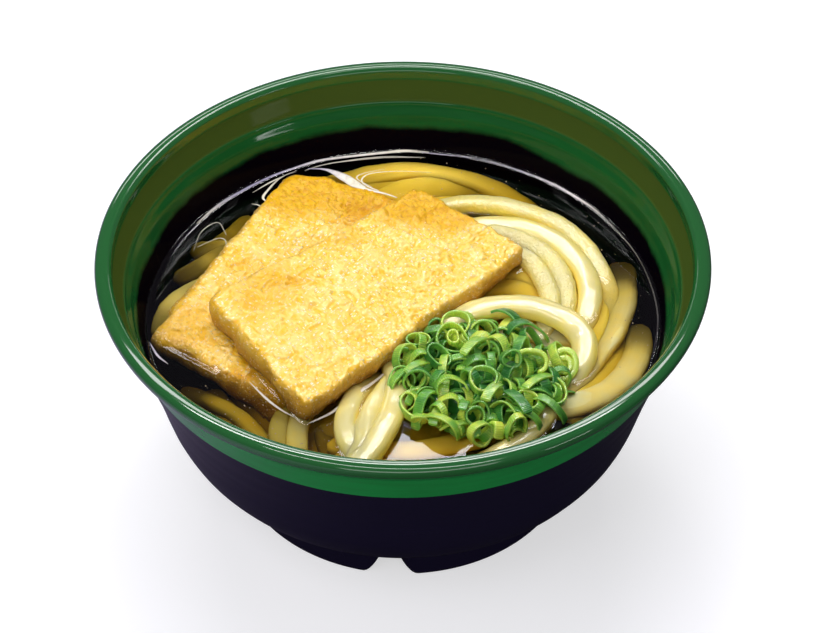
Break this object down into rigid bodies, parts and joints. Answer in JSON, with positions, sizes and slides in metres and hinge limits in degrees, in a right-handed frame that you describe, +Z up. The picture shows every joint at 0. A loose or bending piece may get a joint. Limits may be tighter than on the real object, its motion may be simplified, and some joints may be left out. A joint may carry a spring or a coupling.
{
  "type": "udon noodle bowl",
  "caption": "Thick wheat noodles in clear broth with fried tofu slices and a heap of sliced spring onion, in a green and black bowl with a rolled lip and a notched foot ring.",
  "frame": {"origin": "on the bowl's axis, at the underside of its foot ring", "axes": "+Z up along the bowl's axis; -Y is the side that faces the viewer, with the tofu to the left and the spring onion to the right"},
  "size_m": [0.1858, 0.1858, 0.0861],
  "materials": {
    "bowl": "glossy melamine, green at the rim and near-black below",
    "broth": "clear amber liquid",
    "noodles": "wet and smooth",
    "fried_tofu": "crinkled, moist",
    "spring_onion": "fresh cut leaf"
  },
  "bodies": {
    "root": {"bowl": "bowl", "broth": "broth", "noodles": "noodles", "fried_tofu_lower": "fried_tofu", "fried_tofu_upper": "fried_tofu", "spring_onion": "spring_onion"}
  },
  "joints": []
}
